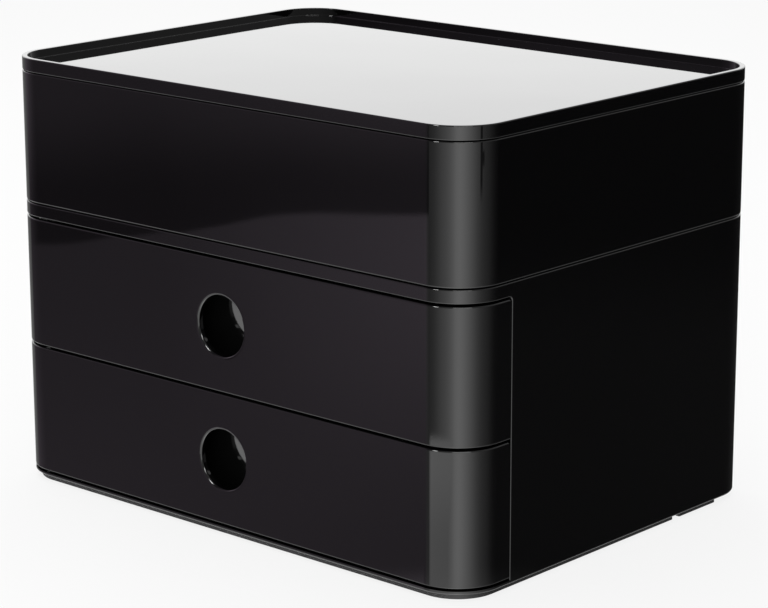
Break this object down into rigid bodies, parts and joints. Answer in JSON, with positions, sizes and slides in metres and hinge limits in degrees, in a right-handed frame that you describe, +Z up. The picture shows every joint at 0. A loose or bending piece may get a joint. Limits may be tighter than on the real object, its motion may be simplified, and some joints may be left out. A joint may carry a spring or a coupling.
{
  "type": "desk drawer box with stacked utensil box",
  "caption": "Glossy black desk organiser with wrap-round drawers, a stacked utensil box and a loose lid with a raised rim.",
  "frame": {"origin": "middle of the footprint, on the plane of the rubber feet", "axes": "+X to the right along the drawer fronts, -Y out of the fronts (drawers open that way), +Z up"},
  "size_m": [0.26, 0.194, 0.1882],
  "materials": {
    "shell_gloss": "high-gloss moulded black",
    "front_gloss": "high-gloss moulded black",
    "box_gloss": "high-gloss moulded black",
    "lid_gloss": "high-gloss moulded black",
    "tray_black": "moulded black, less polished than the outside",
    "runner_black": "plain moulded black, slippery",
    "base_black": "fine-textured black underside",
    "insert_black": "satin black",
    "foot_rubber": "soft dark rubber"
  },
  "bodies": {
    "cabinet": {"cabinet_shell": "shell_gloss", "base_plate": "base_black", "rubber_feet": "foot_rubber", "lower_left_runner": "runner_black", "lower_right_runner": "runner_black", "upper_left_runner": "runner_black", "upper_right_runner": "runner_black"},
    "lower_drawer": {"lower_drawer_tray": "tray_black", "lower_drawer_front": "front_gloss"},
    "upper_drawer": {"upper_drawer_tray": "tray_black", "upper_drawer_front": "front_gloss"},
    "utensil_box": {"utensil_box": "box_gloss"},
    "pen_insert": {"pen_insert": "insert_black"},
    "lid": {"lid": "lid_gloss"}
  },
  "joints": [
    {"name": "lower_drawer_slide", "type": "slide", "parent": "cabinet", "child": "lower_drawer", "axis": [0, -1, 0], "range_m": [0, 0.126]},
    {"name": "upper_drawer_slide", "type": "slide", "parent": "cabinet", "child": "upper_drawer", "axis": [0, -1, 0], "range_m": [0, 0.126]},
    {"name": "utensil_box_lift", "type": "slide", "parent": "cabinet", "child": "utensil_box", "axis": [0, 0, 1], "range_m": [0, 0.06]},
    {"name": "lid_lift", "type": "slide", "parent": "utensil_box", "child": "lid", "axis": [0, 0, 1], "range_m": [0, 0.06]},
    {"name": "pen_insert_lift", "type": "slide", "parent": "utensil_box", "child": "pen_insert", "axis": [0, 0, 1], "range_m": [0, 0.025]}
  ]
}
